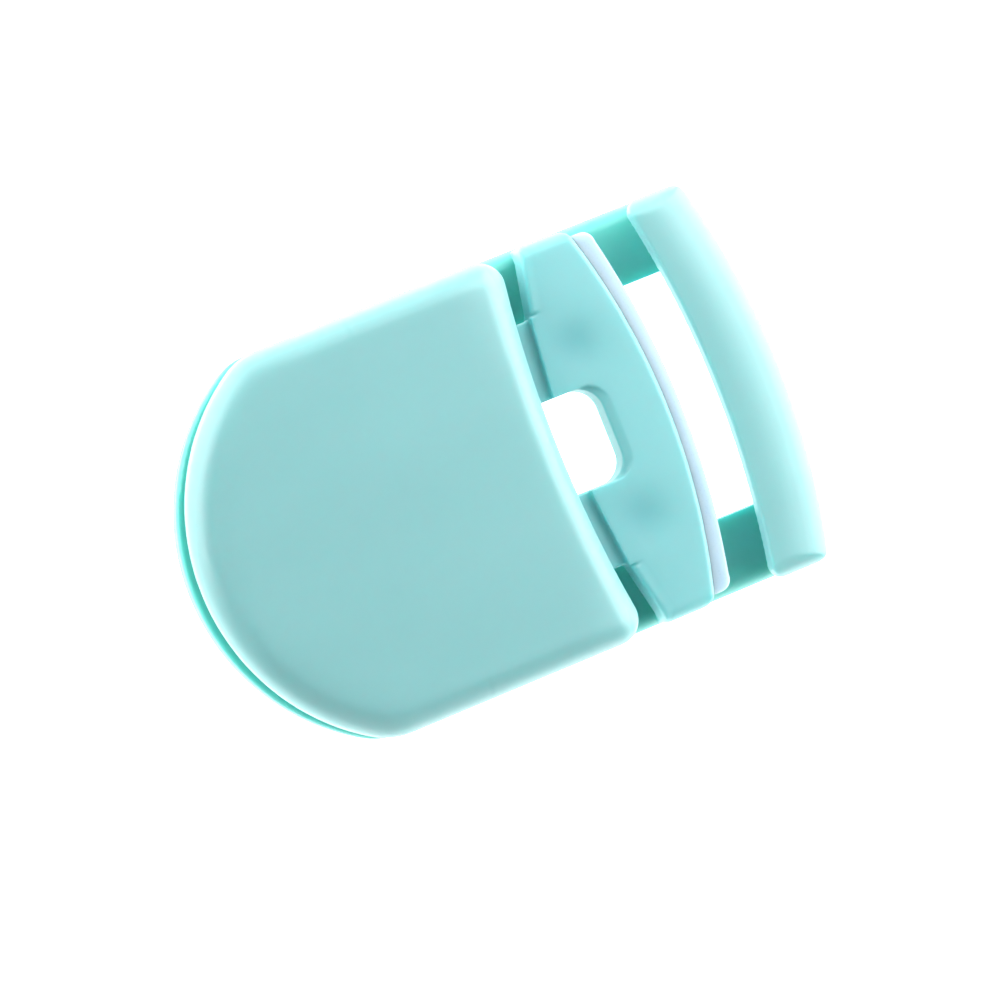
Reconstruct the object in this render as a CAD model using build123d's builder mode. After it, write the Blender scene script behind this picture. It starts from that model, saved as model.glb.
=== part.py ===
from build123d import *
from math import cos, degrees, radians, sin, sqrt, tan
import os

# Pocket eyelash curler, squeeze type. All sizes in millimetres.
# X runs across the curler, +Y points from the palm end to the lash bar, +Z is up.
# The origin is the bottom centre of the whole curler at rest.

# ---- Overall size --------------------------------------------------------------------
total_length = 59.0
total_width = 38.0
total_height = 11.5

half_width = total_width / 2
rear_y = -total_length / 2
front_y = total_length / 2

# ---- Palm end outline, shared by the base and the cover ------------------------------
rear_radius = 21.4
rear_corner_radius = 6.0

# ---- Base ----------------------------------------------------------------------------
floor_thickness = 1.6
rim_height = 3.0
wall = 1.6
arm_height = 2.4
arm_inner_x = 11.9
floor_front_y = 6.8
rim_front_y = 7.4
base_edge_round = 0.7
rim_edge_round = 0.4
arm_edge_round = 1.5
rail_end_gap = 1.5
strip_depth = 2.4

# ---- Lash bar ------------------------------------------------------------------------
bar_near_y = 22.9
bar_near_radius = 92.0
bar_outer_radius = 76.0
bar_top = 9.0
bar_flange = 1.8
bar_apron = 2.0
bar_block_rear_y = 23.9
bar_block_inner_x = 12.4
bar_shoulder_round = 1.9
bar_corner_round = 1.8
bar_lip_round = 0.35
bar_crown_radius = 16.0
bar_crown_reach = 6.0
bar_swing = radians(18.0)
bar_near_corner_round = 1.3
peg_radius = 1.5
peg_height = 3.0
peg_chamfer = 0.3
peg_end_gap = 0.2
peg_x = 15.6
peg_y = 25.9

# ---- Press cover and its hinge -------------------------------------------------------
cover_front_y = 6.35
cover_front_radius = 115.0
cover_thickness = 1.6
cover_round = 2.4
cover_inset = 0.1
press_angle = radians(8.0)
hinge_y = 3.0
hinge_z = 7.0
hinge_pin_radius = 0.8
pin_chamfer = 0.12
pin_end_gap = 0.2
lug_radius = 1.9
lug_thickness = 2.1
side_gap = 0.3
running_gap = 0.05
skirt_lift = 0.4
mouth_half_width = 12.5
mouth_top = 7.7
cover_underside = total_height - cover_thickness

# ---- Jaw slider ----------------------------------------------------------------------
jaw_half_width = 18.8
jaw_front_y = 17.87
jaw_front_radius = 63.7
jaw_top = 8.4
jaw_bottom = 5.0
wing_rear_y = 8.9
wing_rear_slope = 0.21
wing_inner_x = 12.4
tab_top = 7.3
tab_bottom = 5.6
tab_outer_x = 12.2
ledge_rear_y = 8.0
ledge_slope = 0.1
notch_half_width = 4.6
notch_front_y = 12.1
notch_corner_radius = 2.3
tongue_inner_x = 4.6
tongue_outer_x = 7.6
tongue_top = 6.9
tongue_bottom = 4.6
tongue_rear_y = -16.9
tab_rear_y = 2.5
jaw_skirt = 1.4
skirt_rear_gap = 0.3
skirt_front_gap = 0.6
root_overlap = 1.0
jaw_front_wall = 3.0
jaw_plate = 2.0
jaw_corner_round = 1.5
jaw_edge_round = 0.4
wing_rear_round = 1.3
wing_end_round = 1.2
hollow_gap = 1.2
notch_wall = 1.4
notch_relief = 0.9
notch_relief_depth = 0.4
leg_outer_x = arm_inner_x - 0.2
leg_thickness = 1.7
leg_rear_y = 10.6
leg_front_y = 15.2
hook_reach = 0.9
hook_bottom = 0.25
hook_top = 0.95
hook_play = 0.6
rebate_width = 1.2
rebate_height = 1.15

# ---- Soft pad ------------------------------------------------------------------------
pad_front_y = 19.2
pad_front_radius = 78.0
pad_half_width = 18.0
pad_bottom = 5.25
pad_top = 8.0
groove_bottom = 5.85
groove_top = 7.45
groove_depth = 1.5
groove_half_width = 17.0
pad_corner_round = 1.2
seat_gap = 0.03
tongue_overlap = 0.3

# ---- Cam: turns the cover's swing into the slider's travel ----------------------------
closed_gap = 0.1
slide_travel = bar_near_y - pad_front_y - closed_gap
slide_per_radian = slide_travel / press_angle
cam_pin_radius = 0.6
cam_pin_y = -15.3
cam_pin_z = 5.8
rib_inner_x = 2.4
rib_thickness = 1.9
rib_margin = 0.7
slot_overrun = 0.008
rail_thickness = 1.4
slide_gap = 0.1
stop_gap = 0.15
stop_depth = 1.3
stop_top = 6.2

# ---- Return spring -------------------------------------------------------------------
spring_y = -22.0
spring_radius = 2.9
spring_wire_radius = 0.25
spring_turns = 6.0
seat_radius = 2.3
seat_height = 1.4


def sag(radius, x):
    """How far an arc of this radius has fallen away from its crown at x."""
    return radius - sqrt(radius**2 - x**2)


def palm_outline(front, crown_y, inset=0.0):
    """D shape: straight sides, round rear, and a front edge that is an arc.
    The inset narrows the sides and draws the rear in."""
    side_x = half_width - inset
    round_radius = rear_radius - inset
    side_end_y = rear_y + rear_radius - sqrt(round_radius**2 - side_x**2)
    with BuildSketch() as outline:
        with BuildLine():
            Polyline((-side_x, side_end_y), (-side_x, front))
            ThreePointArc((-side_x, front), (0, crown_y), (side_x, front))
            Polyline((side_x, front), (side_x, side_end_y))
            ThreePointArc((side_x, side_end_y), (0, rear_y + inset), (-side_x, side_end_y))
        make_face()
        rear_corners = outline.vertices().filter_by_position(Axis.Y, side_end_y - 0.1, side_end_y + 0.1)
        fillet(rear_corners, rear_corner_radius)
    return outline.sketch


def arc_strip(crown_y, radius, half, rear):
    """Area behind a front arc that is crowned at crown_y and reaches x = +-half."""
    end_y = crown_y - sag(radius, half)
    with BuildSketch() as strip:
        with BuildLine():
            ThreePointArc((-half, end_y), (0, crown_y), (half, end_y))
            Polyline((half, end_y), (half, rear), (-half, rear), (-half, end_y))
        make_face()
    return strip.sketch


def both_sides(x, y):
    """The same place on the left and on the right."""
    return Locations((-x, y), (x, y))


def is_outer_edge(edge):
    """True for an edge on the palm end's straight sides or round rear."""
    middle = edge @ 0.5
    off_side = half_width - abs(middle.X)
    off_rear = rear_radius - sqrt(middle.X**2 + (middle.Y - rear_y - rear_radius) ** 2)
    return off_side < wall / 2 or (middle.Y < 0 and off_rear < wall / 2)


def is_near_lip(edge):
    """True for the long top edge of the lash bar's flange, on the side that faces the jaw."""
    middle = edge @ 0.5
    return middle.Z > bar_top - bar_flange / 2 and abs(middle.Y - bar_near_y) < bar_lip_round


def edge_cutter(side_x, top, radius, start_y, end_y):
    """Pair of cutters that round off the top edges at x = +-side_x, from start_y to end_y."""
    with BuildPart() as cutter:
        with BuildSketch(Plane.XZ.offset(-start_y)):
            with BuildLine():
                Polyline(
                    (side_x - radius, top),
                    (side_x - radius, top + radius),
                    (side_x + radius, top + radius),
                    (side_x + radius, top - radius),
                    (side_x, top - radius),
                )
                RadiusArc((side_x - radius, top), (side_x, top - radius), radius)
            make_face()
            mirror(about=Plane.YZ)
        extrude(amount=start_y - end_y)
    return cutter.part


def notch_relief_cutter():
    """Slope down to the notch's front edge: the notch outline moved forwards, cut to a wedge."""
    relief_front_y = notch_front_y + notch_relief
    with BuildPart() as cutter:
        with BuildSketch(Plane.XY.offset(jaw_top - notch_relief_depth)) as outline:
            with Locations((0, relief_front_y - notch_corner_radius)):
                Rectangle(2 * notch_half_width, 2 * notch_corner_radius)
            fillet(outline.vertices().group_by(Axis.Y)[-1], notch_corner_radius)
        extrude(amount=2 * notch_relief_depth)
        with BuildSketch(Plane.YZ.offset(-notch_half_width)):
            with BuildLine():
                Polyline(
                    (relief_front_y - 3 * notch_relief, jaw_top - 2 * notch_relief_depth),
                    (relief_front_y, jaw_top),
                    (relief_front_y, jaw_top - 2 * notch_relief_depth),
                    close=True,
                )
            make_face()
        extrude(amount=2 * notch_half_width, mode=Mode.SUBTRACT)
    return cutter.part


def cam_point(angle):
    """Cam pin centre, seen from the cover when the cover has swung by this angle."""
    along = cam_pin_y + slide_per_radian * angle - hinge_y
    above = cam_pin_z - hinge_z
    return (
        hinge_y + along * cos(angle) + above * sin(angle),
        hinge_z - along * sin(angle) + above * cos(angle),
    )


def cam_arc():
    """Centre line of the cam slot, with a little overrun past each limit."""
    angles = (-slot_overrun, press_angle / 2, press_angle + slot_overrun)
    with BuildLine() as centre_line:
        ThreePointArc(*[cam_point(angle) for angle in angles])
    return centre_line.edges()[0]


# ======================================================================================
# Base frame: palm plate with a low rim, two arms and a front strip, in one moulding
# ======================================================================================
lug_outer_x = half_width - cover_inset - wall - side_gap
lug_inner_x = lug_outer_x - lug_thickness
bar_end_y = front_y - sag(bar_outer_radius, half_width)
with BuildPart() as base_frame:
    # Palm plate with a rim along its sides and rear
    with BuildSketch(Plane.XY):
        add(palm_outline(rim_front_y, floor_front_y))
    extrude(amount=rim_height)
    with BuildSketch(Plane.XY.offset(floor_thickness)):
        add(palm_outline(rim_front_y, floor_front_y))
        offset(amount=-wall)
        with Locations((0, floor_front_y)):
            Rectangle(total_width - 2 * wall, total_width / 2)
    extrude(amount=rim_height, mode=Mode.SUBTRACT)

    # Arms and front strip around the open window
    with BuildSketch(Plane.XY) as arms:
        add(arc_strip(front_y, bar_outer_radius, half_width, 0))
        outer_corners = arms.vertices().filter_by_position(Axis.Y, bar_end_y - 0.1, bar_end_y + 0.1)
        fillet(outer_corners, bar_corner_round)
        window_front = arc_strip(
            front_y - strip_depth, bar_outer_radius - strip_depth, arm_inner_x, 0
        )
        add(window_front, mode=Mode.SUBTRACT)
    extrude(amount=arm_height)
    underside = base_frame.faces().sort_by(Axis.Z)[0]
    fillet(underside.outer_wire().edges(), base_edge_round)
    rim_edges = base_frame.edges().filter_by_position(
        Axis.Z, rim_height - 0.01, rim_height + 0.01
    )
    fillet([edge for edge in rim_edges if is_outer_edge(edge)], rim_edge_round)

    # Round the arms' outer edges between the rim and the lash bar's blocks
    add(
        edge_cutter(half_width, arm_height, arm_edge_round, rim_front_y, bar_block_rear_y),
        mode=Mode.SUBTRACT,
    )

    # Rebates under the arms' inner edges, for the slider's hooks
    rebate_rear_y = leg_rear_y - hook_play
    rebate_front_y = leg_front_y + slide_travel + hook_play
    with BuildSketch(Plane.XY):
        with both_sides(arm_inner_x, (rebate_rear_y + rebate_front_y) / 2):
            Rectangle(2 * rebate_width, rebate_front_y - rebate_rear_y)
    extrude(amount=rebate_height, mode=Mode.SUBTRACT)

    # Hinge lugs
    for lug_x in (-lug_outer_x, lug_inner_x):
        with BuildSketch(Plane.YZ.offset(lug_x)):
            with Locations((hinge_y, hinge_z)):
                Circle(lug_radius)
            with Locations((hinge_y, hinge_z / 2 + floor_thickness / 4)):
                Rectangle(2 * lug_radius, hinge_z - floor_thickness / 2)
            with Locations((hinge_y, hinge_z)):
                Circle(hinge_pin_radius, mode=Mode.SUBTRACT)
        extrude(amount=lug_thickness)

    # Rails that carry the slider's tongues, and the stops behind them
    tongue_x = (tongue_inner_x + tongue_outer_x) / 2
    rail_rear_y = tongue_rear_y + rail_end_gap
    rail_front_y = floor_front_y - rail_end_gap
    with BuildSketch(Plane.XY.offset(floor_thickness / 2)):
        with both_sides(tongue_x, (rail_rear_y + rail_front_y) / 2):
            Rectangle(rail_thickness, rail_front_y - rail_rear_y)
    extrude(amount=tongue_bottom - slide_gap - floor_thickness / 2)
    stop_y = tongue_rear_y - stop_gap - stop_depth / 2
    with BuildSketch(Plane.XY.offset(floor_thickness / 2)):
        with both_sides(tongue_x, stop_y):
            Rectangle(tongue_outer_x - tongue_inner_x, stop_depth)
    extrude(amount=stop_top - floor_thickness / 2)

    # Peg that centres the spring
    with BuildSketch(Plane.XY.offset(floor_thickness / 2)):
        with Locations((0, spring_y)):
            Circle(seat_radius)
    extrude(amount=floor_thickness / 2 + seat_height)

    # Pegs that hold the lash bar
    with BuildSketch(Plane.XY.offset(arm_height / 2)):
        with both_sides(peg_x, peg_y):
            Circle(peg_radius)
    extrude(amount=arm_height / 2 + peg_height)
    chamfer(
        base_frame.edges().filter_by(GeomType.CIRCLE).filter_by_position(
            Axis.Z, arm_height + peg_height - 0.01, arm_height + peg_height + 0.01
        ),
        peg_chamfer,
    )

# ======================================================================================
# Lash bar: curved flange on an apron, with an end block over each arm
# ======================================================================================
near_end_y = bar_near_y - sag(bar_near_radius, half_width)
with BuildPart() as lash_bar:
    with BuildSketch(Plane.XY.offset(arm_height)) as footprint:
        add(arc_strip(front_y, bar_outer_radius, half_width, floor_front_y))
        add(arc_strip(bar_near_y, bar_near_radius, half_width + 1, 0), mode=Mode.SUBTRACT)
        outer_corners = footprint.vertices().filter_by_position(
            Axis.Y, bar_end_y - 0.1, bar_end_y + 0.1
        )
        fillet(outer_corners, bar_corner_round)
        near_corners = footprint.vertices().filter_by_position(
            Axis.Y, near_end_y - 0.1, near_end_y + 0.1
        )
        fillet(near_corners, bar_near_corner_round)
    extrude(amount=bar_top - arm_height)

    # Slightly crowned top that runs into a round shoulder, turned about the outer arc's centre.
    # The profile is drawn as (distance from that centre, height).
    turn_y = front_y - bar_outer_radius
    crown = ((bar_near_y + front_y - bar_shoulder_round) / 2 - turn_y, bar_top)
    shoulder_x = bar_outer_radius - bar_shoulder_round
    reach = bar_crown_radius - bar_shoulder_round
    lean = (shoulder_x - crown[0]) / reach
    drop = bar_crown_radius - reach * sqrt(1 - lean**2)
    shoulder_centre = (shoulder_x, bar_top - drop)
    blend_point = (
        crown[0] + bar_crown_radius * lean,
        bar_top - bar_crown_radius + bar_crown_radius * sqrt(1 - lean**2),
    )
    inner_point = (crown[0] - bar_crown_reach, bar_top - sag(bar_crown_radius, bar_crown_reach))
    shoulder_middle = (
        shoulder_x + bar_shoulder_round * sin(radians(45)),
        shoulder_centre[1] + bar_shoulder_round * cos(radians(45)),
    )
    turn_start = Plane(
        origin=(0, turn_y, 0),
        x_dir=(sin(bar_swing), cos(bar_swing), 0),
        z_dir=(cos(bar_swing), -sin(bar_swing), 0),
    )
    with BuildSketch(turn_start):
        with BuildLine():
            ThreePointArc(inner_point, crown, blend_point)
            ThreePointArc(blend_point, shoulder_middle, (bar_outer_radius, shoulder_centre[1]))
            Polyline(
                (bar_outer_radius, shoulder_centre[1]),
                (bar_outer_radius + 1, shoulder_centre[1]),
                (bar_outer_radius + 1, bar_top + 1),
                (inner_point[0], bar_top + 1),
                inner_point,
            )
        make_face()
    revolve(
        axis=Axis((0, turn_y, 0), (0, 0, 1)),
        revolution_arc=2 * degrees(bar_swing),
        mode=Mode.SUBTRACT,
    )
    add(
        edge_cutter(half_width, bar_top, bar_shoulder_round, near_end_y - 1, front_y),
        mode=Mode.SUBTRACT,
    )

    # Hollow under the flange: behind the apron in the middle, behind the blocks at the ends
    with BuildSketch(Plane.XY.offset(arm_height)):
        add(
            arc_strip(
                front_y - bar_apron, bar_outer_radius - bar_apron, bar_block_inner_x, floor_front_y
            )
        )
        with Locations((0, (floor_front_y + bar_block_rear_y) / 2)):
            Rectangle(total_width + 2, bar_block_rear_y - floor_front_y)
    extrude(amount=bar_top - bar_flange - arm_height, mode=Mode.SUBTRACT)
    fillet([edge for edge in lash_bar.edges() if is_near_lip(edge)], bar_lip_round)

    # Blind bores for the base's pegs
    with BuildSketch(Plane.XY.offset(arm_height)):
        with both_sides(peg_x, peg_y):
            Circle(peg_radius)
    extrude(amount=peg_height + peg_end_gap, mode=Mode.SUBTRACT)

# ======================================================================================
# Press cover: thumb shell, hinged near its front edge
# ======================================================================================
skirt_front_z = rim_height + skirt_lift
skirt_rear_z = skirt_front_z + (hinge_y - rear_y) * tan(press_angle)
cover_side_y = cover_front_y + sag(cover_front_radius, half_width)
with BuildPart() as press_cover:
    with BuildSketch(Plane.XY.offset(skirt_front_z)):
        add(palm_outline(cover_side_y, cover_front_y, cover_inset))
    extrude(amount=total_height - skirt_front_z)
    for rolled in (slice(None, -1), slice(-1, None)):
        crown_edges = press_cover.edges().filter_by_position(
            Axis.Z, total_height - 0.01, total_height + 0.01
        )
        fillet(crown_edges.sort_by(Axis.Y)[rolled], cover_round)

    # Hollow inside
    with BuildSketch(Plane.XY.offset(skirt_front_z)):
        add(palm_outline(cover_side_y, cover_front_y, cover_inset))
        offset(amount=-wall)
    extrude(amount=cover_underside - skirt_front_z, mode=Mode.SUBTRACT)

    # Skirt rises towards the rear, so that it comes down level onto the rim
    with BuildSketch(Plane.YZ):
        with BuildLine():
            Polyline(
                (hinge_y, skirt_front_z),
                (rear_y - 1, skirt_rear_z + tan(press_angle)),
                (rear_y - 1, skirt_front_z),
                close=True,
            )
        make_face()
    extrude(amount=total_width, both=True, mode=Mode.SUBTRACT)

    # Mouth in the front wall, for the slider's tabs
    with BuildSketch(Plane.XZ.offset(-total_width)):
        with Locations((0, (mouth_top + skirt_front_z) / 2)):
            Rectangle(2 * mouth_half_width, mouth_top - skirt_front_z)
    extrude(amount=total_width, mode=Mode.SUBTRACT)

    # Bores for the hinge pins
    with BuildSketch(Plane.YZ.offset(-total_width)):
        with Locations((hinge_y, hinge_z)):
            Circle(hinge_pin_radius + running_gap)
    extrude(amount=2 * total_width, mode=Mode.SUBTRACT)

    # Cam ribs: the slot drives the slider forwards as the cover swings down
    slot_radius = cam_pin_radius + running_gap
    rib_radius = slot_radius + rib_margin
    rest_point = cam_point(0)
    pressed_point = cam_point(press_angle)
    for rib_x in (-rib_inner_x - rib_thickness, rib_inner_x):
        with BuildSketch(Plane.YZ.offset(rib_x)):
            SlotArc(cam_arc(), 2 * rib_radius)
            with BuildLine():
                Polyline(
                    (rest_point[0] - rib_radius, rest_point[1]),
                    (rest_point[0] - rib_radius, cover_underside + wall / 2),
                    (pressed_point[0] + rib_radius, cover_underside + wall / 2),
                    (pressed_point[0] + rib_radius, pressed_point[1]),
                    close=True,
                )
            make_face()
            SlotArc(cam_arc(), 2 * slot_radius, mode=Mode.SUBTRACT)
        extrude(amount=rib_thickness)

    # Peg that centres the spring
    with BuildSketch(Plane.XY.offset(cover_underside - seat_height)):
        with Locations((0, spring_y)):
            Circle(seat_radius)
    extrude(amount=seat_height + wall / 2)

# ======================================================================================
# Jaw slider: plate with a square notch, two wings, two tabs with tongues, guide hooks
# ======================================================================================
jaw_end_y = jaw_front_y - sag(jaw_front_radius, jaw_half_width)
ledge_end_y = ledge_rear_y + ledge_slope * (wing_inner_x - notch_half_width)
wing_end_y = wing_rear_y + wing_rear_slope * (jaw_half_width - wing_inner_x)
skirt_rear_y = wing_end_y + skirt_rear_gap
skirt_front_y = jaw_end_y - skirt_front_gap
with BuildPart() as jaw_slider:
    # Plate
    with BuildSketch(Plane.XY.offset(jaw_bottom)) as plate:
        with BuildLine():
            ThreePointArc((-jaw_half_width, jaw_end_y), (0, jaw_front_y), (jaw_half_width, jaw_end_y))
            for side in (-1, 1):
                Polyline(
                    (side * jaw_half_width, jaw_end_y),
                    (side * jaw_half_width, wing_end_y),
                    (side * wing_inner_x, wing_rear_y),
                    (side * wing_inner_x, ledge_end_y),
                    (side * notch_half_width, ledge_rear_y),
                    (0, ledge_rear_y),
                )
        make_face()
        front_corners = plate.vertices().filter_by_position(Axis.Y, jaw_end_y - 0.1, jaw_end_y + 0.1)
        fillet(front_corners, jaw_corner_round)
    extrude(amount=jaw_top - jaw_bottom)
    wing_tops = (
        jaw_slider.edges()
        .filter_by_position(Axis.Z, jaw_top - 0.01, jaw_top + 0.01)
        .filter_by_position(Axis.Y, wing_rear_y, wing_end_y)
        .filter_by(GeomType.LINE)
    )
    fillet(wing_tops, wing_rear_round)
    front_tops = (
        jaw_slider.edges()
        .filter_by_position(Axis.Z, jaw_top - 0.01, jaw_top + 0.01)
        .filter_by(GeomType.CIRCLE)
    )
    fillet(front_tops, jaw_edge_round)
    add(
        edge_cutter(jaw_half_width, jaw_top, wing_end_round, wing_rear_y - 1, jaw_front_y),
        mode=Mode.SUBTRACT,
    )

    # Moulded hollow underneath, behind the front wall and beside the notch
    with BuildSketch(Plane.XY.offset(jaw_bottom)):
        add(
            arc_strip(
                jaw_front_y - jaw_front_wall,
                jaw_front_radius - jaw_front_wall,
                jaw_half_width - jaw_skirt,
                wing_end_y + hollow_gap,
            )
        )
        with Locations((0, jaw_front_y / 2)):
            Rectangle(2 * (notch_half_width + notch_wall), jaw_front_y, mode=Mode.SUBTRACT)
    extrude(amount=jaw_top - jaw_plate - jaw_bottom, mode=Mode.SUBTRACT)

    # Skirts at the ends, which slide on the arms
    with BuildSketch(Plane.XY.offset(arm_height + slide_gap)):
        with both_sides(jaw_half_width - jaw_skirt / 2, (skirt_rear_y + skirt_front_y) / 2):
            Rectangle(jaw_skirt, skirt_front_y - skirt_rear_y)
    extrude(amount=jaw_bottom - arm_height)

    # Tabs that go in under the cover, and the tongues they carry
    with BuildSketch(Plane.XY.offset(tab_bottom)):
        with both_sides(
            (notch_half_width + tab_outer_x) / 2, (tab_rear_y + ledge_end_y + root_overlap) / 2
        ):
            Rectangle(tab_outer_x - notch_half_width, ledge_end_y + root_overlap - tab_rear_y)
    extrude(amount=tab_top - tab_bottom)
    with BuildSketch(Plane.XY.offset(tongue_bottom)):
        tongue_front_y = ledge_rear_y + 2 * root_overlap
        with both_sides(tongue_x, (tongue_rear_y + tongue_front_y) / 2):
            Rectangle(tongue_outer_x - tongue_inner_x, tongue_front_y - tongue_rear_y)
    extrude(amount=tongue_top - tongue_bottom)

    # Notch
    with BuildSketch(Plane.XY.offset(-1)) as notch:
        with Locations((0, notch_front_y / 2)):
            Rectangle(2 * notch_half_width, notch_front_y)
        fillet(notch.vertices().group_by(Axis.Y)[-1], notch_corner_radius)
    extrude(amount=total_height, mode=Mode.SUBTRACT)
    add(notch_relief_cutter(), mode=Mode.SUBTRACT)

    # Guide legs inside the window, hooked under the arms
    with BuildSketch(Plane.XY.offset(hook_bottom)):
        with both_sides(leg_outer_x - leg_thickness / 2, (leg_rear_y + leg_front_y) / 2):
            Rectangle(leg_thickness, leg_front_y - leg_rear_y)
    extrude(amount=jaw_top - jaw_plate / 2 - hook_bottom)
    with BuildSketch(Plane.XY.offset(hook_bottom)):
        with both_sides(leg_outer_x, (leg_rear_y + leg_front_y) / 2):
            Rectangle(2 * hook_reach, leg_front_y - leg_rear_y)
    extrude(amount=hook_top - hook_bottom)

    # Groove for the soft pad
    with BuildSketch(Plane.XY.offset(groove_bottom)):
        add(arc_strip(jaw_front_y + 1, jaw_front_radius + 1, groove_half_width, wing_rear_y))
        add(
            arc_strip(
                jaw_front_y - groove_depth,
                jaw_front_radius - groove_depth,
                groove_half_width,
                wing_rear_y,
            ),
            mode=Mode.SUBTRACT,
        )
    extrude(amount=groove_top - groove_bottom, mode=Mode.SUBTRACT)

    # Bores for the cam pin
    with BuildSketch(Plane.YZ.offset(-tongue_outer_x)):
        with Locations((cam_pin_y, cam_pin_z)):
            Circle(cam_pin_radius)
    extrude(amount=2 * tongue_outer_x, mode=Mode.SUBTRACT)

# ======================================================================================
# Silicone pad: bead along the jaw's front, with a tongue in the groove
# ======================================================================================
with BuildPart() as silicone_pad:
    with BuildSketch(Plane.XY.offset(pad_bottom)) as bead:
        add(arc_strip(pad_front_y, pad_front_radius, pad_half_width, wing_rear_y))
        pad_end_y = pad_front_y - sag(pad_front_radius, pad_half_width)
        pad_corners = bead.vertices().filter_by_position(Axis.Y, pad_end_y - 0.1, pad_end_y + 0.1)
        fillet(pad_corners, pad_corner_round)
        add(
            arc_strip(jaw_front_y, jaw_front_radius, jaw_half_width, 0),
            mode=Mode.SUBTRACT,
        )
    extrude(amount=pad_top - pad_bottom)
    with BuildSketch(Plane.XY.offset(groove_bottom + seat_gap)):
        add(
            arc_strip(
                jaw_front_y + tongue_overlap,
                jaw_front_radius + tongue_overlap,
                groove_half_width - seat_gap,
                0,
            )
        )
        add(
            arc_strip(
                jaw_front_y - groove_depth + seat_gap,
                jaw_front_radius - groove_depth + seat_gap,
                groove_half_width,
                -1,
            ),
            mode=Mode.SUBTRACT,
        )
    extrude(amount=groove_top - groove_bottom - 2 * seat_gap)

# ======================================================================================
# Steel pins
# ======================================================================================
pin_end_x = half_width - pin_end_gap


def hinge_pin(start_x):
    """Plain pin with chamfered ends, from start_x towards +X."""
    with BuildPart() as pin:
        with BuildSketch(Plane.YZ.offset(start_x)):
            with Locations((hinge_y, hinge_z)):
                Circle(hinge_pin_radius)
        extrude(amount=pin_end_x - lug_inner_x)
        chamfer(pin.edges().filter_by(GeomType.CIRCLE), pin_chamfer)
    return pin


hinge_pin_left = hinge_pin(-pin_end_x)
hinge_pin_right = hinge_pin(lug_inner_x)

with BuildPart() as cam_pin:
    with BuildSketch(Plane.YZ.offset(-tongue_outer_x)):
        with Locations((cam_pin_y, cam_pin_z)):
            Circle(cam_pin_radius)
    extrude(amount=2 * tongue_outer_x)
    chamfer(cam_pin.edges().filter_by(GeomType.CIRCLE), pin_chamfer)

# ======================================================================================
# Return spring: coil between the base floor and the cover
# ======================================================================================
with BuildPart() as return_spring:
    coil_bottom = floor_thickness + spring_wire_radius
    coil_top = cover_underside - spring_wire_radius
    with BuildLine() as coil:
        Helix(
            pitch=(coil_top - coil_bottom) / spring_turns,
            height=coil_top - coil_bottom,
            radius=spring_radius,
            center=(0, spring_y, coil_bottom),
        )
    with BuildSketch(Plane(origin=coil.line @ 0, z_dir=coil.line % 0)):
        Circle(spring_wire_radius)
    sweep(is_frenet=True)

# ======================================================================================
# Write one file per piece
# ======================================================================================
os.makedirs("parts", exist_ok=True)
pieces = {
    "base_frame": base_frame,
    "lash_bar": lash_bar,
    "press_cover": press_cover,
    "jaw_slider": jaw_slider,
    "silicone_pad": silicone_pad,
    "hinge_pin_left": hinge_pin_left,
    "hinge_pin_right": hinge_pin_right,
    "cam_pin": cam_pin,
    "return_spring": return_spring,
}
for name, piece in pieces.items():
    piece.part.label = name
    export_step(piece.part, f"parts/{name}.step")
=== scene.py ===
import math

import bmesh
import bpy
from mathutils import Matrix, Vector


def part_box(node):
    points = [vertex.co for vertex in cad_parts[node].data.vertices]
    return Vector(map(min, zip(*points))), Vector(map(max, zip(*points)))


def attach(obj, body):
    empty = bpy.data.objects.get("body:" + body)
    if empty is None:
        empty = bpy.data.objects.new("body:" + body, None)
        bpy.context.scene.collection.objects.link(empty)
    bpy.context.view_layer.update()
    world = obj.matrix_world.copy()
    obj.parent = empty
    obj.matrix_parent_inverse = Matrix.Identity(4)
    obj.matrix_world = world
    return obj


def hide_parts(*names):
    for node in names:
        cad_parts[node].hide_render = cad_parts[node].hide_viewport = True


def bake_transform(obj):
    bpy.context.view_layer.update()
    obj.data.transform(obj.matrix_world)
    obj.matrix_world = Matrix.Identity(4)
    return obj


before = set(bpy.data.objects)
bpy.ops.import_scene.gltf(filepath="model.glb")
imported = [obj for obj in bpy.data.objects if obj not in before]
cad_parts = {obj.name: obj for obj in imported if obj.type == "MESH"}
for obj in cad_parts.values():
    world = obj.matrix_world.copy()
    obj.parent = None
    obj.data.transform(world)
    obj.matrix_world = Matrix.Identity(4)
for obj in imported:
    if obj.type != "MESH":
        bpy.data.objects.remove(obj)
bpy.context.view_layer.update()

MM = 0.001
FRAME_PX = 1000


# --------------------------------------------------------------------------------------
# Camera: looks down on the curler from behind the palm end, long lens
# --------------------------------------------------------------------------------------
def make_camera(tilt, roll, spin, distance, focal_px, offset):
    """tilt leans the view from straight down towards the palm end, roll towards -X.
    spin is the angle of +Y above the picture's horizontal. offset is in mm, across and up."""
    tilt, roll, spin = (math.radians(a) for a in (tilt, roll, spin))
    back = Vector((-math.sin(roll), -math.sin(tilt) * math.cos(roll), math.cos(tilt) * math.cos(roll)))
    ahead = Vector((0, 1, 0))
    ahead = (ahead - back * ahead.dot(back)).normalized()
    side = back.cross(ahead)
    right = ahead * math.cos(spin) - side * math.sin(spin)
    up = ahead * math.sin(spin) + side * math.cos(spin)
    data = bpy.data.cameras.new("camera")
    data.sensor_width = 36.0
    data.lens = focal_px / FRAME_PX * data.sensor_width
    data.clip_start = 0.01
    data.clip_end = 20.0
    cam = bpy.data.objects.new("camera", data)
    cam.matrix_world = Matrix.Translation(
        (back * distance + right * offset[0] + up * offset[1]) * MM
    ) @ Matrix((right, up, back)).transposed().to_4x4()
    bpy.context.scene.collection.objects.link(cam)
    bpy.context.scene.camera = cam


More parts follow.
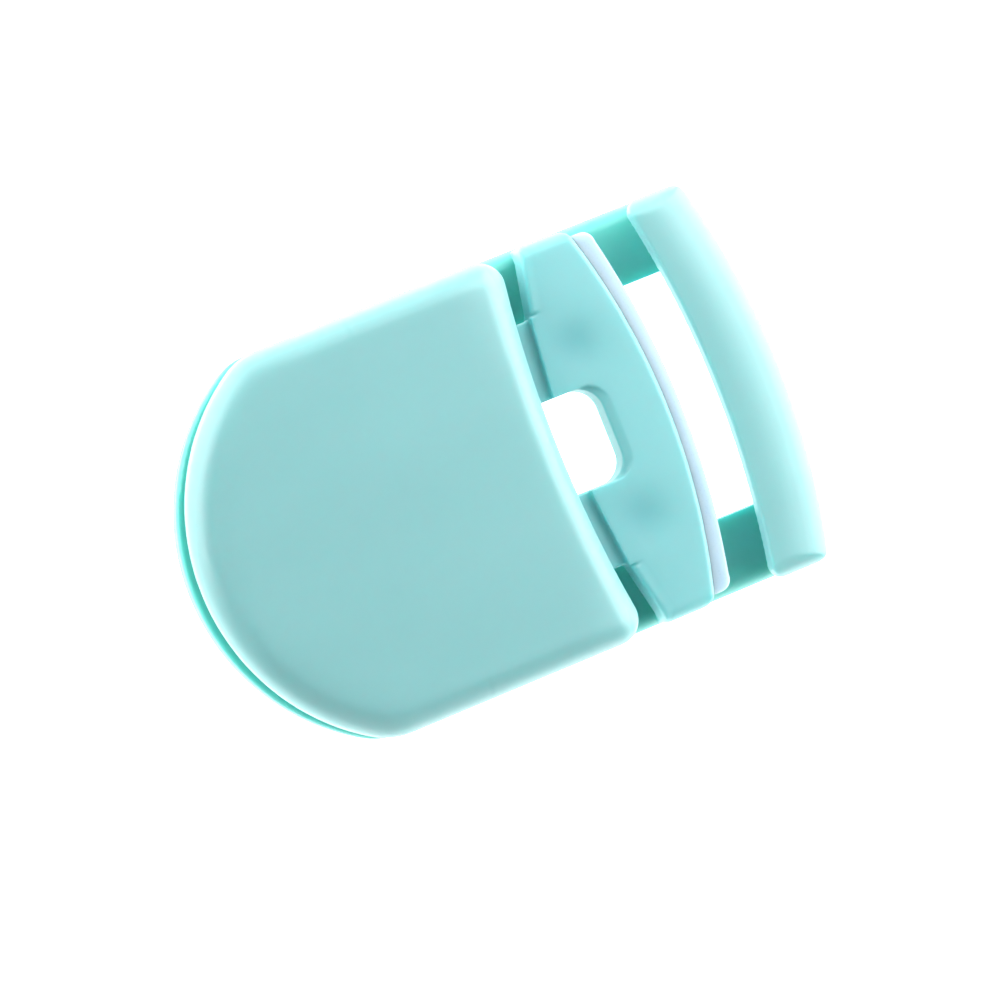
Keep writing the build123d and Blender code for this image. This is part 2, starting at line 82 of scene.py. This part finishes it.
make_camera(tilt=11.826, roll=1.538, spin=22.248, distance=445.14, focal_px=4729.9, offset=(2.157, -1.772))


# --------------------------------------------------------------------------------------
# Materials
# --------------------------------------------------------------------------------------
class Shader:
    """A material's node tree with the few helpers that the materials below share."""

    def __init__(self, name):
        self.mat = bpy.data.materials.new(name)
        self.mat.use_nodes = True
        self.nodes = self.mat.node_tree.nodes
        self.links = self.mat.node_tree.links
        self.bsdf = self.nodes["Principled BSDF"]
        self.place = self.nodes.new("ShaderNodeTexCoord").outputs["Object"]

    def set(self, **values):
        for socket, value in values.items():
            self.bsdf.inputs[socket.replace("_", " ")].default_value = value

    def link(self, source, target):
        self.links.new(source, target)

    def noise(self, size_mm, detail=2.0, stretch=(1, 1, 1)):
        """Noise whose cells are about size_mm across, longer where stretch is above 1."""
        mapping = self.nodes.new("ShaderNodeMapping")
        mapping.inputs["Scale"].default_value = [1 / s for s in stretch]
        self.link(self.place, mapping.inputs["Vector"])
        tex = self.nodes.new("ShaderNodeTexNoise")
        tex.inputs["Scale"].default_value = 1 / (size_mm * MM)
        tex.inputs["Detail"].default_value = detail
        self.link(mapping.outputs["Vector"], tex.inputs["Vector"])
        return tex.outputs["Fac"]

    def spread(self, source, low, high):
        """Maps the middle of a noise to low..high."""
        node = self.nodes.new("ShaderNodeMapRange")
        node.inputs["From Min"].default_value = 0.3
        node.inputs["From Max"].default_value = 0.7
        node.inputs["To Min"].default_value = low
        node.inputs["To Max"].default_value = high
        self.link(source, node.inputs["Value"])
        return node.outputs["Result"]

    def mix(self, fac, a, b):
        node = self.nodes.new("ShaderNodeMix")
        node.data_type = "RGBA"
        self.link(fac, node.inputs["Factor"])
        for socket, value in (("A", a), ("B", b)):
            target = [s for s in node.inputs if s.name == socket and s.type == "RGBA"][0]
            if isinstance(value, tuple):
                target.default_value = (*value, 1)
            else:
                self.link(value, target)
        return [s for s in node.outputs if s.type == "RGBA"][0]

    def near(self, centre_mm, radius_mm):
        """1 at a point and its mirror image across X, falling to 0 at radius_mm."""
        mirrored = self.nodes.new("ShaderNodeVectorMath")
        mirrored.operation = "ABSOLUTE"
        self.link(self.place, mirrored.inputs[0])
        away = self.nodes.new("ShaderNodeVectorMath")
        away.operation = "DISTANCE"
        away.inputs[1].default_value = [c * MM for c in centre_mm]
        self.link(mirrored.outputs["Vector"], away.inputs[0])
        fade = self.nodes.new("ShaderNodeMapRange")
        fade.interpolation_type = "SMOOTHSTEP"
        fade.inputs["From Max"].default_value = radius_mm * MM
        fade.inputs["To Min"].default_value = 1
        fade.inputs["To Max"].default_value = 0
        self.link(away.outputs["Value"], fade.inputs["Value"])
        return fade.outputs["Result"]

    def bump(self, height, depth_mm, normal=None):
        """Bumps the surface by a noise, over another normal if one is given."""
        node = self.nodes.new("ShaderNodeBump")
        node.inputs["Strength"].default_value = 1.0
        node.inputs["Distance"].default_value = depth_mm * MM
        self.link(height, node.inputs["Height"])
        if normal:
            self.link(normal, node.inputs["Normal"])
        self.link(node.outputs["Normal"], self.bsdf.inputs["Normal"])

    def soft_edges(self, radius_mm):
        """Moulded edges catch light as if they were rounded by radius_mm."""
        node = self.nodes.new("ShaderNodeBevel")
        node.samples = 4
        node.inputs["Radius"].default_value = radius_mm * MM
        return node.outputs["Normal"]


def tint(color, factor):
    return tuple(c * factor for c in color)


MINT = (0.255, 0.535, 0.545)
# The base is the same mint plastic, painted brighter and greener to make up for the shade its arms lie in.
MINT_BASE_BRIGHTENED_FOR_SHADE = (0.15, 0.62, 0.57)
MINT_JAW = (0.25, 0.59, 0.61)
# Painted shade at the jaw's sink marks: how much darker the colour gets there, standing in for the dark
# hollow seen through the plastic.
SINK_SHADE_TINT = (0.74, 0.86, 0.88)
SINK_SHADE_SPOT = ((8.6, 11.4, 8.4), 3.6)  # centre and radius of the painted shade at the jaw's sink marks


def mint_plastic(name, color=MINT, gloss=(0.34, 0.42), shine=0.8, edge=0.12, shade_spot=None):
    """Moulded plastic, a little translucent, with faint flow marks and a fine mould texture.
    gloss is the roughness range, shine the specular level, edge the radius of its softened edges in mm.
    The last argument is the centre and radius in mm of a place where shade is painted into the colour, with
    its mirror image."""
    s = Shader(name)
    s.set(IOR=1.5, Specular_IOR_Level=shine)
    s.set(Subsurface_Weight=1.0, Subsurface_Radius=(0.4, 1.0, 0.9), Subsurface_Scale=2.0 * MM)
    flow = s.spread(s.noise(9.0, detail=3.0, stretch=(1, 2.5, 1)), 0.0, 1.0)
    shade = s.mix(flow, tint(color, 0.985), tint(color, 1.015))
    if shade_spot:
        # painted shade: the colour darkens towards each sink mark, in place of the hollow underneath showing
        # dark through the plastic
        shade = s.mix(s.near(*shade_spot), shade, tuple(c * d for c, d in zip(color, SINK_SHADE_TINT)))
    s.link(shade, s.bsdf.inputs["Base Color"])
    s.link(s.spread(s.noise(0.35), *gloss), s.bsdf.inputs["Roughness"])
    s.bump(s.noise(1.6, detail=1.0), 0.0012, s.soft_edges(edge))
    return s


def milky_silicone(name):
    """Soft translucent pad: cloudy inside, with a satin skin."""
    s = Shader(name)
    s.set(IOR=1.41, Subsurface_Weight=1.0, Subsurface_Radius=(0.9, 1.0, 1.0), Subsurface_Scale=1.6 * MM)
    cloud = s.spread(s.noise(1.8, detail=2.0, stretch=(3, 1, 1)), 0.0, 1.0)
    s.link(s.mix(cloud, (0.43, 0.58, 0.68), (0.48, 0.62, 0.71)), s.bsdf.inputs["Base Color"])
    s.link(s.spread(s.noise(0.2), 0.24, 0.40), s.bsdf.inputs["Roughness"])
    s.bump(s.noise(0.9, detail=1.0, stretch=(3, 1, 1)), 0.0015)
    return s


def drawn_steel(name):
    """Bright steel with fine draw lines along X."""
    s = Shader(name)
    s.set(Metallic=1.0)
    tone = s.spread(s.noise(0.5, detail=3.0), 0.0, 1.0)
    s.link(s.mix(tone, (0.50, 0.51, 0.53), (0.64, 0.65, 0.66)), s.bsdf.inputs["Base Color"])
    s.link(s.spread(s.noise(0.15, stretch=(6, 1, 1)), 0.18, 0.36), s.bsdf.inputs["Roughness"])
    s.bump(s.noise(0.08, stretch=(12, 1, 1)), 0.002)
    return s


def wear(piece, shader):
    piece.data.materials.clear()
    piece.data.materials.append(shader.mat)


cover_plastic = mint_plastic("cover_plastic")
bar_plastic = mint_plastic("bar_plastic")
# painted light: the base wears a brightened copy of the mint, for its shaded arms
wear(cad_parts["base_frame"], mint_plastic("body_plastic", MINT_BASE_BRIGHTENED_FOR_SHADE, edge=0.4))
# the jaw's material has painted shade at its sink marks
jaw_plastic = mint_plastic("jaw_plastic", MINT_JAW, edge=0.25, shade_spot=SINK_SHADE_SPOT)
silicone = milky_silicone("milky_silicone")
steel = drawn_steel("drawn_steel")
for node in ("hinge_pin_left", "hinge_pin_right", "cam_pin"):
    wear(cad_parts[node], steel)


# --------------------------------------------------------------------------------------
# Mesh helpers
# --------------------------------------------------------------------------------------
def link_piece(name, mesh, body, shader, slot, *replaced):
    """Adds a mesh as a piece that rides on a body if one is given, wears the shader's material and stands for
    CAD nodes. slot is not used."""
    piece = bpy.data.objects.new(name, mesh)
    bpy.context.scene.collection.objects.link(piece)
    wear(piece, shader)
    for face in mesh.polygons:
        face.use_smooth = True
    if body:
        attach(piece, body)
    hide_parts(*replaced)
    return piece


def baked(obj):
    """The object's mesh with its modifiers applied."""
    graph = bpy.context.evaluated_depsgraph_get()
    return bpy.data.meshes.new_from_object(obj.evaluated_get(graph))


def with_modifier(mesh, kind, **settings):
    """The mesh after one modifier, as a new mesh."""
    obj = bpy.data.objects.new("work", mesh)
    bpy.context.scene.collection.objects.link(obj)
    mod = obj.modifiers.new("work", kind)
    for key, value in settings.items():
        setattr(mod, key, value)
    out = baked(obj)
    bpy.data.objects.remove(obj)
    return out


def clamp(value):
    return min(max(value, 0.0), 1.0)


def sag(radius, offset):
    """How far an arc of this radius drops below its highest point, at an offset from it."""
    return radius - math.sqrt(max(radius**2 - offset**2, 0.0))


def roll(radius, distance):
    """How far a rounded edge of this radius lies below its face, at a distance in from the edge."""
    distance = max(distance, 0.0)
    return sag(radius, radius - distance) if distance < radius else 0.0


def smooth_step(value, low, high):
    """0 up to low, 1 from high on, and a smooth rise between them."""
    t = clamp((value - low) / (high - low))
    return t * t * (3 - 2 * t)


def in_mm(box):
    """A box's lowest and highest corners in mm."""
    return [[c / MM for c in corner] for corner in box]


WELD = 0.002
SMOOTH_FACTOR = 0.5
SMOOTH_STEPS = 3
KEPT_FACES = 0.4


def reshaped(name, node, voxel, start, shift, body, shader, slot):
    """Stands for a CAD node: its solid remeshed, with everything above start moved up by shift(x, y, share),
    where share goes from 0 at start to 1 at the top."""
    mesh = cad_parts[node].data.copy()
    mesh = with_modifier(mesh, "REMESH", mode="VOXEL", voxel_size=voxel * MM)
    mesh = with_modifier(mesh, "SMOOTH", factor=SMOOTH_FACTOR, iterations=SMOOTH_STEPS)
    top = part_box(node)[1][2] / MM
    for v in mesh.vertices:
        x, y, z = (c / MM for c in v.co)
        if z > start:
            v.co.z = min(z + shift(x, y, (z - start) / (top - start)), top) * MM
    mesh = with_modifier(mesh, "DECIMATE", ratio=KEPT_FACES)
    link_piece(name, mesh, body, shader, slot, node)


def tube(name, rings):
    """A closed mesh through rings of points in metres, capped at both ends."""
    bm = bmesh.new()
    rings = [[bm.verts.new(point) for point in ring] for ring in rings]
    count = len(rings[0])
    for a, b in zip(rings, rings[1:]):
        for j in range(count):
            bm.faces.new((a[j], a[(j + 1) % count], b[(j + 1) % count], b[j]))
    bm.faces.new(rings[0])
    bm.faces.new(list(reversed(rings[-1])))
    bmesh.ops.remove_doubles(bm, verts=bm.verts, dist=WELD * MM)
    bmesh.ops.recalc_face_normals(bm, faces=bm.faces)
    mesh = bpy.data.meshes.new(name)
    bm.to_mesh(mesh)
    bm.free()
    return mesh


# --------------------------------------------------------------------------------------
# Jaw slider: the CAD shape with a gently crowned top, two soft sink marks and sharper wing edges
# --------------------------------------------------------------------------------------
JAW_HALF_WIDTH, JAW_FRONT_Y, JAW_TOP = in_mm(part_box("jaw_slider"))[1]
JAW_VOXEL = 0.14
JAW_FRONT_RADIUS = 63.7
JAW_CROWN_RADIUS = 90.0
JAW_FLAT = 1.5
SINK_X = 8.6
SINK_Y = JAW_FRONT_Y - 6.0
SINK_SIZE = 1.7
SINK_DEPTH = 0.25
WING_INNER_X = 12.4
WING_REAR_Y = 8.9
WING_REAR_SLOPE = 0.21
WING_REAR_ROUND = 1.3
WING_REAR_EDGE = 0.5
WING_END_ROUND = 1.2
WING_FADE = 0.4


def sink(x, y):
    """1 at the middle of each sink mark, falling off smoothly."""
    return math.exp(-((abs(x) - SINK_X) ** 2 + (y - SINK_Y) ** 2) / (2 * SINK_SIZE**2))


def jaw_shift(x, y, share):
    behind = JAW_FRONT_Y - sag(JAW_FRONT_RADIUS, min(abs(x), JAW_HALF_WIDTH)) - y - JAW_FLAT
    crown = max(behind, 0.0) ** 2 / (2 * JAW_CROWN_RADIUS)
    up = -(crown + SINK_DEPTH * sink(x, y)) * share
    if abs(x) > WING_INNER_X:
        rear = y - WING_REAR_Y - WING_REAR_SLOPE * (abs(x) - WING_INNER_X)
        end = roll(WING_END_ROUND, JAW_HALF_WIDTH - abs(x))
        sharper = max(roll(WING_REAR_ROUND, rear), end) - max(roll(WING_REAR_EDGE, rear), end)
        up += sharper * smooth_step(abs(x) - WING_INNER_X, 0.0, WING_FADE)
    return up


reshaped("jaw_shell", "jaw_slider", JAW_VOXEL, JAW_TOP - WING_REAR_ROUND, jaw_shift, "jaw",
         jaw_plastic, "jaw_plastic")


# --------------------------------------------------------------------------------------
# Press cover: the CAD shape with a top that keeps curving for a few mm past its rounded edges
# --------------------------------------------------------------------------------------
COVER_BOX = in_mm(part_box("press_cover"))
COVER_REAR_Y = COVER_BOX[0][1]
COVER_FRONT_Y, COVER_TOP = COVER_BOX[1][1:]
COVER_VOXEL = 0.16
COVER_FRONT_RADIUS = 115.0
COVER_REAR_RADIUS = 21.3
COVER_ROUND = 2.4
COVER_EASE = 0.5
COVER_EASE_REACH = 6.0


def eased(distance):
    """How far the top falls at this distance from an edge."""
    return COVER_EASE * (1 - clamp(distance / COVER_EASE_REACH)) ** 3


def cover_shift(x, y, share):
    front = COVER_FRONT_RADIUS - math.hypot(x, y - COVER_FRONT_Y + COVER_FRONT_RADIUS)
    rear = COVER_REAR_RADIUS - math.hypot(x, y - COVER_REAR_Y - COVER_REAR_RADIUS)
    rear = rear if y < COVER_REAR_Y + COVER_REAR_RADIUS else COVER_EASE_REACH
    return -(eased(front) + eased(rear)) * share


reshaped("cover_shell", "press_cover", COVER_VOXEL, COVER_TOP - COVER_ROUND, cover_shift, "lever",
         cover_plastic, "cover_plastic")


# --------------------------------------------------------------------------------------
# Lash bar: the CAD shape with its top rolling further over towards the outer edge
# --------------------------------------------------------------------------------------
BAR_FRONT_Y, BAR_TOP = in_mm(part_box("lash_bar"))[1][1:]
BAR_VOXEL = 0.12
BAR_OUTER_RADIUS = 76.0
BAR_SHOULDER = 1.9
BAR_EASE = 0.45
BAR_EASE_REACH = 4.5


def bar_shift(x, y, share):
    outer = BAR_OUTER_RADIUS - math.hypot(x, y - BAR_FRONT_Y + BAR_OUTER_RADIUS)
    return -BAR_EASE * (1 - clamp(outer / BAR_EASE_REACH)) ** 2 * share


reshaped("bar_shell", "lash_bar", BAR_VOXEL, BAR_TOP - BAR_SHOULDER, bar_shift, "frame",
         bar_plastic, "bar_plastic")


# --------------------------------------------------------------------------------------
# Silicone pad: gently domed bead with a tongue in the jaw's groove
# --------------------------------------------------------------------------------------
PAD_BOX = in_mm(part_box("silicone_pad"))
PAD_BOTTOM = PAD_BOX[0][2]
PAD_HALF, PAD_FRONT_Y, PAD_TOP = PAD_BOX[1]
PAD_FRONT_RADIUS = 78.0
PAD_CORNER = 1.2
PAD_EDGE = 0.32
PAD_EDGE_SHARE = 0.45
PAD_TONGUE = 1.4
PAD_TONGUE_Z = (5.9, 7.4)
PAD_TONGUE_HALF = 16.9
PAD_TONGUE_TAPER = 0.3
PAD_FALL = 0.12
PAD_STEPS = 160
PAD_TOP_STEPS = 18
PAD_EDGE_STEPS = 6
PAD_END_GAP = 0.01


def pad_back_y(x):
    return JAW_FRONT_Y - sag(JAW_FRONT_RADIUS, x)


def pad_front_y(x):
    straight = PAD_HALF - PAD_CORNER
    over = max(abs(x) - straight, 0.0)
    return PAD_FRONT_Y - sag(PAD_FRONT_RADIUS, min(abs(x), straight)) - sag(PAD_CORNER, min(over, PAD_CORNER))


def pad_section(x):
    """Points of the pad's cross-section at x, as (y, z), round from the top of its back."""
    back, front = pad_back_y(x), pad_front_y(x)
    width = front - back
    edge = min(PAD_EDGE, width * PAD_EDGE_SHARE)
    flat = width - edge
    shares = [i / PAD_EDGE_STEPS for i in range(PAD_EDGE_STEPS + 1)]
    arc = [(math.sin(math.radians(90 * u)), math.cos(math.radians(90 * u))) for u in shares]
    points = []
    for i in range(PAD_TOP_STEPS + 1):
        u = i / PAD_TOP_STEPS
        points.append((back + flat * u, PAD_TOP - PAD_FALL * u**2))
    top = points[-1][1]
    points += [(back + flat + edge * sin, top - edge * (1 - cos)) for sin, cos in arc[1:]]
    points += [(front, top - edge + (PAD_BOTTOM + 2 * edge - top) * u) for u in shares[1:-1]]
    points += [(front - edge * (1 - cos), PAD_BOTTOM + edge - edge * sin) for sin, cos in arc]
    points.append((back, PAD_BOTTOM))
    depth = PAD_TONGUE * clamp((PAD_TONGUE_HALF - abs(x)) / PAD_TONGUE_TAPER)
    points += [(back, PAD_TONGUE_Z[0]), (back - depth, PAD_TONGUE_Z[0])]
    points += [(back - depth, PAD_TONGUE_Z[1]), (back, PAD_TONGUE_Z[1])]
    return points


def make_pad():
    rings = []
    limit = PAD_HALF - PAD_END_GAP
    for i in range(PAD_STEPS + 1):
        x = PAD_HALF * math.sin(math.pi * (i / PAD_STEPS - 0.5))
        x = max(min(x, limit), -limit)
        rings.append([(x * MM, y * MM, z * MM) for y, z in pad_section(x)])
    link_piece("pad_bead", tube("pad", rings), "jaw", silicone, "silicone", "silicone_pad")


make_pad()


# --------------------------------------------------------------------------------------
# Return spring: round wire coil with closed end turns
# --------------------------------------------------------------------------------------
SPRING_WIRE = 0.25 * MM  # radius
SPRING_TURNS = 6.5
SPRING_CLOSED = 0.8  # turns at each end that lie almost flat
SPRING_END_RISE = 2.1  # wire radii that each closed end rises
SPRING_STEPS = int(SPRING_TURNS * 40)
WIRE_SIDES = 12


def spring_rise(turn, height):
    """How far the wire has risen after so many turns, of a whole rise of height."""
    left = SPRING_TURNS - turn
    ends = clamp(turn / SPRING_CLOSED) + 1 - clamp(left / SPRING_CLOSED)
    open_part = clamp((turn - SPRING_CLOSED) / (SPRING_TURNS - 2 * SPRING_CLOSED))
    end_rise = SPRING_END_RISE * SPRING_WIRE
    return (height - 2 * end_rise) * open_part + end_rise * ends


def make_spring():
    low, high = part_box("return_spring")
    centre = Vector(((low[0] + high[0]) / 2, (low[1] + high[1]) / 2, 0))
    radius = (high[0] - low[0]) / 2 - SPRING_WIRE
    bottom = low[2] + SPRING_WIRE
    height = high[2] - low[2] - 2 * SPRING_WIRE
    path = []
    for i in range(SPRING_STEPS + 1):
        turn = i / SPRING_STEPS * SPRING_TURNS
        angle = 2 * math.pi * turn
        z = bottom + spring_rise(turn, height)
        path.append(centre + Vector((radius * math.cos(angle), radius * math.sin(angle), z)))
    rings = []
    for i, p in enumerate(path):
        tangent = (path[min(i + 1, SPRING_STEPS)] - path[max(i - 1, 0)]).normalized()
        out = Vector((p.x - centre.x, p.y - centre.y, 0)).normalized()
        up = tangent.cross(out).normalized()
        out = up.cross(tangent)
        around = (2 * math.pi * k / WIRE_SIDES for k in range(WIRE_SIDES))
        rings.append([p + (out * math.cos(a) + up * math.sin(a)) * SPRING_WIRE for a in around])
    piece = link_piece("return_coil", tube("spring", rings), None, steel, "steel", "return_spring")
    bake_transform(piece)


make_spring()


# --------------------------------------------------------------------------------------
# Floor and light
# --------------------------------------------------------------------------------------
FLOOR_Z = -0.02 * MM
FLOOR_REACH = 3.0
FLOOR_GLOW = 1.7
WORLD_GLOW = 0.1
WHITE = (1, 1, 1, 1)


def make_floor():
    """White light table, just clear of the curler's underside."""
    corners = [(x * FLOOR_REACH, y * FLOOR_REACH, FLOOR_Z) for x, y in ((-1, -1), (1, -1), (1, 1), (-1, 1))]
    mesh = bpy.data.meshes.new("floor")
    mesh.from_pydata(corners, [], [(0, 1, 2, 3)])
    floor = bpy.data.objects.new("floor", mesh)
    bpy.context.scene.collection.objects.link(floor)
    s = Shader("floor_paper")
    s.set(Base_Color=(0.93, 0.93, 0.93, 1), Roughness=0.9)
    s.set(Emission_Color=WHITE, Emission_Strength=FLOOR_GLOW)
    mesh.materials.append(s.mat)


def soft_box(name, direction, distance, size, power):
    """Area light that faces the curler from a direction, with sizes in m and power in W."""
    data = bpy.data.lights.new(name, "AREA")
    data.shape = "RECTANGLE"
    data.size, data.size_y = size
    data.energy = power
    light = bpy.data.objects.new(name, data)
    direction = Vector(direction).normalized()
    light.location = direction * distance
    light.rotation_mode = "QUATERNION"
    light.rotation_quaternion = direction.to_track_quat("Z", "Y")
    bpy.context.scene.collection.objects.link(light)


# name: direction, distance, size, power. The names say where each stands in the main view.
SOFT_BOXES = {
    "right": ((-0.10, 1.0, 0.50), 0.36, (0.50, 0.32), 2.5),
    "left": ((-0.70, -1.0, 0.40), 0.40, (0.50, 0.24), 1.7),
    "up": ((-1.0, 0.20, 0.50), 0.40, (0.40, 0.26), 0.5),
    "down": ((1.0, -0.20, 0.40), 0.40, (0.40, 0.26), 0.3),
    "over": ((-0.45, 0.55, 0.85), 0.45, (0.30, 0.30), 0.8),
}

make_floor()
for name, settings in SOFT_BOXES.items():
    soft_box(name, *settings)

world = bpy.data.worlds.new("world")
world.use_nodes = True
background = world.node_tree.nodes["Background"]
background.inputs["Color"].default_value = WHITE
background.inputs["Strength"].default_value = WORLD_GLOW
bpy.context.scene.world = world
bpy.context.scene.view_settings.view_transform = "Standard"
